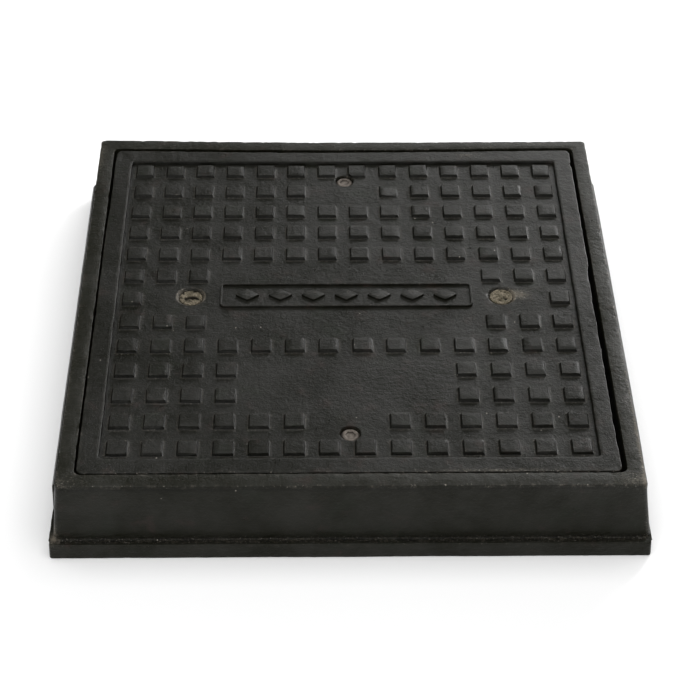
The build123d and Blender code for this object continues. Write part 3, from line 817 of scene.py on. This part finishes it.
def frame_marks(made):
    """Attributes the paint reads that the sweep didn't set: dust, and painted shade on the ledge
    and under the rim's edge; and where the edges are worn most.
    """
    points = co_mm(made)
    x, y, z = points.T
    spots = (
        (0.5, (284, -284, 90), (26, 12, 6)), (0.9, (290, -225, 88), (3, 100, 6)),
        (0.5, (-289, 262, 88), (7, 40, 9)), (1.0, (-298, -292, 26), (5, 9, 14)),
        (0.55, (297, -291, 45), (4, 6, 26)), (0.4, (225, 288, 90), (45, 8, 5)),
        (0.3, (-286, -284, 90), (26, 12, 5)), (0.3, (-291, -120, 88), (5, 160, 6)),
    )
    dust = sum(amount * patch(points, centre, reach) for amount, centre, reach in spots)
    outer = square_ring(x, y)
    # Painted shade on the ledge at the wall's foot, which also gets some dust.
    ledge = bell(z, FLANGE_TOP, 3.0) * (outer < 299) * (outer > 284)
    mark(made, "dust", np.clip(dust + 0.3 * ledge, 0, 1))
    # Painted shadow in a band just below the rim's outer edge.
    under_rim_shadow = bell(z, 86.4, 1.7) * (outer > 288)
    mark(made, "painted_shade", np.clip(ledge + under_rim_shadow, 0, 1))
    wear = np.zeros(len(points), np.float32)
    made.data.attributes["edge"].data.foreach_get("value", wear)
    front = (y < -284) & (z > 80)
    share = np.where(front, np.interp(x, (-290, -150, 60, 290), (0.8, 0.55, 1.0, 1.25)), 0.8)
    share = np.where((x > 284) & (z > 80), 1.45, share)
    made.data.attributes["edge"].data.foreach_set("value", (wear * share).astype(np.float32))


# ---- Locking screws, plugs and gasket ----
def shank_radius(z, turns, head, groove):
    """Radius of a locking screw's shank round one ring: a helix, and the clip's groove."""
    if groove - 0.1 < z < groove + 1.35:
        return 5.2
    phase = (z / THREAD_PITCH - turns / (2 * math.pi)) % 1
    depth = 0.95 * ramp(np.abs(phase * 2 - 1), 0.9)
    fade = np.clip((head - 6.0 - z) / 2.0, 0, 1)
    return np.minimum(5.97 - depth * fade, 4.9 + z)


def build_lock_bolt(node):
    """Knurled socket head over a shank with a real helical thread and the clip's groove."""
    low, high = box_mm(node)
    centre = np.array([*axis_mm(node), low[2]])
    length = high[2] - low[2]
    head = length - 12.0
    heights = [*np.arange(0.0, head - 6.0, 0.22), head - 6.0, head - 3.0, head - 0.6]
    steps = 120
    turns = 2 * math.pi * np.arange(steps) / steps
    groove = box_mm(node.replace("lock_bolt", "bolt_clip"))[0][2] - low[2]
    rings = [(shank_radius(z, turns, head, groove), z) for z in heights]
    knurl = 0.16 * np.abs(np.sin(30 * turns))
    circle = np.column_stack([9 * np.cos(turns), 9 * np.sin(turns), np.full(steps, centre[1])])
    grit = 0.35 * (rough(circle, 3.5, 141) + 0.9)  # grit packed round the head
    rings += [
        (6.4, head - 0.02),
        (8.6, head),
        (8.85, head + 0.4),
        (8.97 - knurl, head + 1.0),
        (8.97 - knurl, length - 4.0),
        (9.9 - grit, length - 3.4),
        (10.05 - 0.6 * grit, length - 2.3 - grit),
        (9.3 - 0.5 * grit, length - 1.2 - 1.3 * grit),
        (8.7 - 0.2 * grit, length - 0.8 - 0.5 * grit),
        (8.2, length - 0.4),
        (7.7, length - 0.1),
        (7.0, length),
    ]
    made = piece(node + "_steel", turned(rings, turns) + centre, skin(len(rings), steps))
    corner = 4.6 / math.cos(math.pi / 6)
    hexagon = turned([(corner, 0)], math.pi / 3 * np.arange(6))[:, :2]
    socket = prism("socket", hexagon, length - 1.5, length + 2.0, centre)
    mouth = lathe("mouth", [(4.2, length - 0.8), (6.2, length + 0.3)], centre, steps=48)
    join_solids(made, [socket, mouth], "DIFFERENCE")
    return made


def build_plug(node, seed, hollow):
    """A crumbling push-in plug: lumpy and pitted on top, plain in its hole."""
    low, high = box_mm(node)
    radius = (high[0] - low[0]) / 2
    steps = 112
    turns = 2 * math.pi * np.arange(steps) / steps
    side = [(radius - 0.5, low[2]), (radius - 0.05, low[2] + 0.6)]
    side += [(radius - 0.05, low[2] + k) for k in (4.0, 8.0, 11.0, 13.5, 15.0)]
    crown = [(radius - 0.05 - 0.25 * k * k / 16, high[2] - 2.0 + 0.35 * k) for k in range(5)]
    cap = [(r, high[2] - 0.5) for r in np.linspace(radius - 0.7, 0.25, 34)]
    rings = side + crown + cap
    points = turned(rings, turns)
    x, y, z = points.T
    top = ramp(z - (high[2] - 3.0), 2.0)
    lumps = 0.8 * rough(points, 4.2, seed, 4) + 0.35 * noise(points, 1.4, seed + 9)
    pits = 2.6 * np.clip(noise(points, 2.8, seed + 13) - 0.42, 0, 1)
    if hollow:
        bend = bell(np.hypot(x - 1.5, y + 7.5), 9.0, 1.5)
        channel = 2.6 * bend * ramp(y + 4.5, 3) * ramp(10 - np.abs(x), 4)
        sink = channel + 3.0 * bell(x, 2.5, 3.4) * bell(y, 0.0, 2.2) + 0.5
    else:
        sink = 2.4 * bell(x, 5.0, 1.7) * bell(y, -3.2, 2.0)
        sink += 1.9 * bell(x, -1.8, 2.2) * bell(y, -6.2, 1.3)
    drop = top * (np.maximum(lumps * -0.55 + 0.28, 0) + pits + sink)
    points[:, 2] -= drop
    ragged = top * 0.25 * (rough(points, 3.0, seed + 21) + 1)
    points[:, :2] *= (1 - ragged / radius)[:, None]
    points[:, 2] = np.minimum(points[:, 2], high[2])
    faces = skin(len(rings), steps)
    made = piece(node + "_fibre", points + (*axis_mm(node), 0), faces, smooth_angle=70)
    # Painted shade: the deeper a pit or hollow sinks, the darker it is painted.
    mark(made, "painted_pit_shade", np.clip(drop / 2.8, 0, 1))
    return made


def build_gasket():
    """Rubber strip with a crowned top and rounded lower edges, swept round the seat."""
    low, high = box_mm("seating_gasket")
    outer = high[0]
    inner = outer - 10.0
    top, foot = high[2], low[2]
    side = [(0.9, 4.0, foot), (0.1, 5.0, foot + 0.7), (0.1, 5.0, foot + 2.9)]
    side += [(0.5, 5.0, foot + 3.6), (1.4, 4.0, foot + 4.6), (2.6, 3.0, top)]
    section = [(outer - inset, 15.0 + plan, z) for inset, plan, z in side]
    section += [(inner + inset, 15.0 - plan, z) for inset, plan, z in reversed(side)]
    rings = [(frame_ring(half, plan, fixed=False), z) for half, plan, z in section]
    faces = skin(len(rings), len(rings[0][0]), closed=True)
    points = np.array([(x, y, z) for ring, z in rings for x, y in ring])
    points[:, 2] -= 0.12 * (noise(points, 25, 91) + 1) * (points[:, 2] > foot + 3)
    return piece("gasket_strip", points, faces)


# ---- Materials ----
PAINT_GLOSS = 0.155


class Paint:
    """A node material: a Principled shader and short ways to add nodes."""

    def __init__(self, name):
        self.material = bpy.data.materials.new(name)
        self.material.use_nodes = True
        self.tree = self.material.node_tree
        self.shader = self.tree.nodes["Principled BSDF"]
        self.place = self.node("ShaderNodeTexCoord").outputs["Object"]

    def feed(self, socket, value):
        """Set a number or a colour on a socket, or link another node's output to it."""
        if isinstance(value, tuple):
            socket.default_value = (*value, 1.0)
        elif isinstance(value, (int, float)):
            socket.default_value = value
        elif value is not None:
            self.tree.links.new(value, socket)

    def node(self, kind, inputs=(), **settings):
        """Add a node with those settings, and feed its inputs, given by name or by number."""
        made = self.tree.nodes.new(kind)
        for key, value in settings.items():
            setattr(made, key, value)
        for key, value in dict(inputs).items():
            self.feed(made.inputs[key], value)
        return made

    def noise(self, scale, detail=4.0, roughness=0.6, place=None):
        """Noise in the part's own space, unless told where; scale is per metre."""
        inputs = {"Vector": place or self.place, "Scale": scale, "Detail": detail,
                  "Roughness": roughness}
        return self.node("ShaderNodeTexNoise", inputs).outputs["Fac"]

    def stretched(self, scales):
        """Noise with its own scale along each axis."""
        mapping = self.node("ShaderNodeMapping", {"Vector": self.place})
        mapping.inputs["Scale"].default_value = scales
        return self.noise(1.0, 3.0, 0.5, mapping.outputs["Vector"])

    def cells(self, scale):
        """Voronoi cells in the part's own space: their distance, and a random number each."""
        made = self.node("ShaderNodeTexVoronoi", {"Vector": self.place, "Scale": scale})
        parts = self.node("ShaderNodeSeparateColor", {0: made.outputs["Color"]})
        return made.outputs["Distance"], parts.outputs[0]

    def attribute(self, name):
        return self.node("ShaderNodeAttribute", attribute_name=name).outputs["Fac"]

    def math(self, operation, first, second, clamp=False):
        inputs = {0: first, 1: second}
        settings = {"operation": operation, "use_clamp": clamp}
        return self.node("ShaderNodeMath", inputs, **settings).outputs[0]

    def times(self, first, second):
        return self.math("MULTIPLY", first, second)

    def span(self, value, low, high, to_low=0.0, to_high=1.0):
        """Map a value's span smoothly onto another, clamped."""
        inputs = enumerate((value, low, high, to_low, to_high))
        made = self.node("ShaderNodeMapRange", inputs, interpolation_type="SMOOTHSTEP")
        return made.outputs[0]

    def mix(self, share, first, second):
        """Blend two colours, each a tuple or a socket."""
        inputs = {0: share, 6: first, 7: second}
        return self.node("ShaderNodeMix", inputs, data_type="RGBA").outputs[2]

    def coats(self, colour, *coats):
        """Lay coats over a colour. Each is its share and its tint."""
        for share, tint in coats:
            colour = self.mix(share, colour, tint)
        return colour

    def bump(self, height, distance, strength=1.0, under=None):
        inputs = {"Strength": strength, "Distance": distance, "Height": height, "Normal": under}
        return self.node("ShaderNodeBump", inputs).outputs["Normal"]

    def finish(self, colour, roughness, normal, metallic=0.0, specular=0.5):
        inputs = {"Base Color": colour, "Roughness": roughness, "Normal": normal,
                  "Metallic": metallic, "Specular IOR Level": specular}
        for name, value in inputs.items():
            self.feed(self.shader.inputs[name], value)
        return self.material


def iron_paint(name, base, pale):
    """Black bitumen paint over rough cast iron, rubbed thin on the edges, with painted shade:
    darker, less glossy paint in the creases marked as shade.
    """
    paint = Paint(name)
    clouds = paint.noise(14, 5, 0.65)
    mottle = paint.noise(95, 4, 0.7)
    grain = paint.noise(900, 3, 0.7)
    tone = paint.math("ADD", paint.times(clouds, 0.55), paint.times(mottle, 0.45))
    brown = paint.span(paint.noise(38, 5, 0.7), 0.56, 0.72, 0.0, 0.6)
    olive = paint.span(paint.noise(23, 5, 0.65), 0.54, 0.70, 0.0, 0.6)
    # Painted shade: this darkens the paint in creases, on the ledge and under the rim.
    painted_shade = paint.times(paint.attribute("painted_shade"), paint.span(mottle, 0.3, 0.7, 0.4, 0.9))
    dust = paint.attribute("dust")
    drift = paint.math("ADD", paint.noise(420, 4, 0.75), paint.times(dust, 0.28))
    dusty = paint.times(dust, paint.span(drift, 0.52, 0.78))
    grit = paint.times(dust, paint.span(paint.noise(650, 3, 0.6), 0.60, 0.70))
    edge = paint.attribute("edge")
    bare = paint.times(edge, paint.span(paint.noise(170, 6, 0.75), 0.50, 0.70, 0.0, 0.75))
    bright = paint.times(edge, paint.span(paint.noise(420, 3, 0.6), 0.64, 0.72))
    distance, chance = paint.cells(150)
    dot = paint.span(distance, 0.08, 0.13, 1.0, 0.0)
    fleck = paint.times(dot, paint.span(chance, 0.985, 0.99))
    colour = paint.coats(
        paint.mix(paint.span(tone, 0.38, 0.64), base, pale),
        (brown, (0.022, 0.0145, 0.0115)),
        (olive, (0.0085, 0.0105, 0.0058)),
        (painted_shade, (0.005, 0.005, 0.0045)),
        (dusty, (0.115, 0.100, 0.078)),
        (bare, (0.095, 0.084, 0.070)),
        (bright, (0.22, 0.20, 0.17)),
        (grit, (0.36, 0.34, 0.30)),
        (fleck, (0.26, 0.24, 0.21)),
    )
    roughness = paint.math("ADD", paint.span(tone, 0.36, 0.64, 0.27, 0.42),
                           paint.times(dusty, 0.25), clamp=True)
    swell = paint.bump(paint.noise(75, 3, 0.6), 0.0018, 0.35)
    coarse = paint.bump(paint.noise(240, 4, 0.65), 0.0010, 0.7, swell)
    ripple = paint.bump(paint.stretched((60, 220, 420)), 0.0006, 0.38, coarse)
    medium = paint.bump(paint.noise(620, 3, 0.6), 0.00045, 0.6, ripple)
    fine = paint.bump(grain, 0.00020, 0.45, medium)
    # Painted shade also lowers the sheen where the shade attribute is set.
    gloss = paint.times(paint.span(painted_shade, 0.0, 1.0, PAINT_GLOSS, 0.3 * PAINT_GLOSS),
                        paint.span(clouds, 0.36, 0.64, 0.78, 1.22))
    return paint.finish(colour, roughness, fine, specular=gloss)


def steel(name, base, pale, rough_low, rough_high, rust):
    """Dull plated steel with stains, fine scratches and specks of rust."""
    paint = Paint(name)
    clouds = paint.noise(160, 5, 0.7)
    fine = paint.noise(1500, 3, 0.6)
    colour = paint.mix(paint.span(clouds, 0.35, 0.65), base, pale)
    stain = paint.span(paint.noise(420, 5, 0.7), 0.60, 0.72, 0.0, rust)
    colour = paint.mix(stain, colour, (0.16, 0.075, 0.035))
    roughness = paint.span(fine, 0.3, 0.7, rough_low, rough_high)
    metallic = paint.math("SUBTRACT", 0.9, stain, clamp=True)
    normal = paint.bump(fine, 0.00012, 0.4, paint.bump(clouds, 0.0004, 0.3))
    return paint.finish(colour, roughness, normal, metallic)


def rubber(name, base):
    """Matt black rubber with a faint bloom and fine grain."""
    paint = Paint(name)
    bloom = paint.noise(120, 4, 0.7)
    colour = paint.mix(paint.span(bloom, 0.4, 0.7), base, tuple(c * 2.2 for c in base))
    roughness = paint.span(bloom, 0.3, 0.7, 0.62, 0.82)
    normal = paint.bump(paint.noise(2200, 2, 0.5), 0.0001, 0.5)
    return paint.finish(colour, roughness, normal)


def coated(name, base):
    """Thick black coating on pressed steel, lightly orange-peeled and scuffed."""
    paint = Paint(name)
    peel = paint.noise(700, 3, 0.5)
    scuff = paint.span(paint.noise(240, 6, 0.8), 0.62, 0.75, 0.0, 0.5)
    colour = paint.mix(scuff, base, (0.12, 0.11, 0.10))
    roughness = paint.span(peel, 0.3, 0.7, 0.35, 0.5)
    return paint.finish(colour, roughness, paint.bump(peel, 0.0003, 0.4))


def fibre(name):
    """Crumbling cork full of grit: tan crumbs, dark pores, and painted shade darkening its pits
    and hollows by their depth.
    """
    paint = Paint(name)
    distance, shade = paint.cells(620)
    clouds = paint.noise(210, 5, 0.7)
    colour = paint.coats(
        (0.075, 0.062, 0.040),
        (paint.span(shade, 0.0, 1.0), (0.185, 0.158, 0.115)),
        (paint.span(clouds, 0.45, 0.72), (0.055, 0.050, 0.027)),
        (paint.span(distance, 0.55, 0.75, 0.0, 0.7), (0.03, 0.026, 0.015)),
        # Painted shade in the pits and hollows.
        (paint.span(paint.attribute("painted_pit_shade"), 0.25, 0.85), (0.012, 0.010, 0.006)),
    )
    height = paint.math("SUBTRACT", paint.noise(800, 4, 0.7), distance)
    normal = paint.bump(height, 0.0006, 0.7)
    return paint.finish(colour, 0.9, normal, specular=0.25)


MATERIALS = {name: make(name, *looks) for name, make, *looks in (
    ("cover_iron", iron_paint, (0.0053, 0.0054, 0.0032), (0.0092, 0.0090, 0.0068)),
    ("frame_iron", iron_paint, (0.0060, 0.0061, 0.0028), (0.0102, 0.0101, 0.0064)),
    ("gasket_rubber", rubber, (0.014, 0.014, 0.014)),
    ("seal_rubber", rubber, (0.018, 0.018, 0.018)),
    ("bush_brass", steel, (0.38, 0.26, 0.10), (0.58, 0.42, 0.17), 0.3, 0.5, 0.15),
    ("bar_steel", steel, (0.30, 0.29, 0.27), (0.46, 0.45, 0.42), 0.4, 0.6, 0.5),
    ("cup_steel", coated, (0.022, 0.022, 0.022)),
    ("screw_steel", steel, (0.36, 0.35, 0.33), (0.52, 0.51, 0.48), 0.3, 0.5, 0.3),
    ("lock_steel", steel, (0.085, 0.072, 0.062), (0.17, 0.15, 0.13), 0.5, 0.75, 0.5),
    ("plug_cork", fibre),
)}
SLOT_OF = {row["node"]: row["material_slot"] for row in frame["record"]["subparts"]}
BODY_OF = {
    node: body for body, nodes in frame["record"]["behaviour"]["bodies"].items() for node in nodes
}


replaced = set()


def stand_for(made, node):
    """Let a piece stand for a CAD node: its body, its place and its finish."""
    replaced.add(node)
    made.data.materials.clear()
    made.data.materials.append(MATERIALS[SLOT_OF[node]])
    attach(made, BODY_OF[node])
    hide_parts(node)


def paint_cad_node(name):
    """Give a CAD node that stays its material."""
    node = frame["nodes"][name]
    if not node.material_slots:
        node.data.materials.append(MATERIALS[SLOT_OF[name]])
    for material_slot in node.material_slots:
        material_slot.material = MATERIALS[SLOT_OF[name]]


# ---- The studio ----
def make_camera():
    """Stands in front, a little left of centre, and looks down at about 41 degrees."""
    camera = bpy.data.cameras.new("camera")
    camera.lens = 99.526
    camera.sensor_width = 36.0
    camera.clip_end = 50.0
    holder = bpy.data.objects.new("camera", camera)
    turn = Matrix.Rotation(math.radians(-1.443), 4, "Z")
    tilt = Matrix.Rotation(math.radians(90 - 41.407), 4, "X")
    roll = Matrix.Rotation(math.radians(0.764), 4, "Z")
    holder.matrix_world = Matrix.Translation((-0.03693, -1.62101, 1.44079)) @ turn @ tilt @ roll
    bpy.context.scene.collection.objects.link(holder)
    bpy.context.scene.camera = holder


def make_floor():
    """A plain pale sheet, gently curved up far behind the object."""
    reach, rise = 6.0, 3.0
    profile = [(-reach, 0.0), (2.5, 0.0)]
    profile += [(2.5 + rise * math.sin(t), rise * (1 - math.cos(t)))
                for t in np.linspace(0.1, math.pi / 2, 16)]
    points = [(x / MM, y / MM, z / MM - 0.05) for x in (-reach, reach) for y, z in profile]
    count = len(profile)
    faces = [(k, count + k, count + k + 1, k + 1) for k in range(count - 1)]
    floor = piece("floor", points, faces)
    paint = Paint("floor_paper")
    colour = paint.mix(paint.noise(3, 3, 0.5), (0.94, 0.94, 0.94), (0.96, 0.96, 0.96))
    normal = paint.bump(paint.noise(300), 0.0001)
    floor.data.materials.append(paint.finish(colour, 0.85, normal, specular=0.1))


def area_light(name, place, size, power):
    """A large soft panel that faces the object."""
    light = bpy.data.lights.new(name, "AREA")
    light.shape = "RECTANGLE"
    light.size, light.size_y = size
    light.energy = power
    holder = bpy.data.objects.new(name, light)
    holder.location = place
    holder.rotation_euler = (-Vector(place)).to_track_quat("-Z", "Y").to_euler()
    bpy.context.scene.collection.objects.link(holder)


def make_lights():
    """Broad panels: behind on the right, overhead for the floor, and weak in front."""
    area_light("key", (1.7, 2.1, 0.8), (0.6, 0.5), 40)
    area_light("rear", (0.95, 2.7, 1.6), (2.0, 0.8), 29)
    area_light("overhead", (0, -0.2, 2.8), (3.6, 3.0), 85)
    area_light("front", (-0.6, -2.6, 0.9), (1.6, 0.8), 15)
    world = bpy.data.worlds.new("studio")
    world.use_nodes = True
    background = world.node_tree.nodes["Background"]
    background.inputs["Color"].default_value = (1.0, 1.0, 1.0, 1.0)
    background.inputs["Strength"].default_value = 0.25
    bpy.context.scene.world = world
    bpy.context.scene.view_settings.view_transform = "Standard"


make_camera()
make_floor()
make_lights()

cover = build_cover()
cover_marks(cover)
stand_for(cover, "cover_casting")
frame_piece = build_frame()
frame_marks(frame_piece)
stand_for(frame_piece, "frame_casting")
stand_for(build_gasket(), "seating_gasket")
for end in ("rear", "front"):
    stand_for(build_lock_bolt(f"{end}_lock_bolt"), f"{end}_lock_bolt")
for side, seed in (("left", 101), ("right", 131)):
    plug = f"{side}_key_plug"
    stand_for(build_plug(plug, seed, hollow=side == "left"), plug)
for name in sorted(set(frame["nodes"]) - replaced):
    paint_cad_node(name)
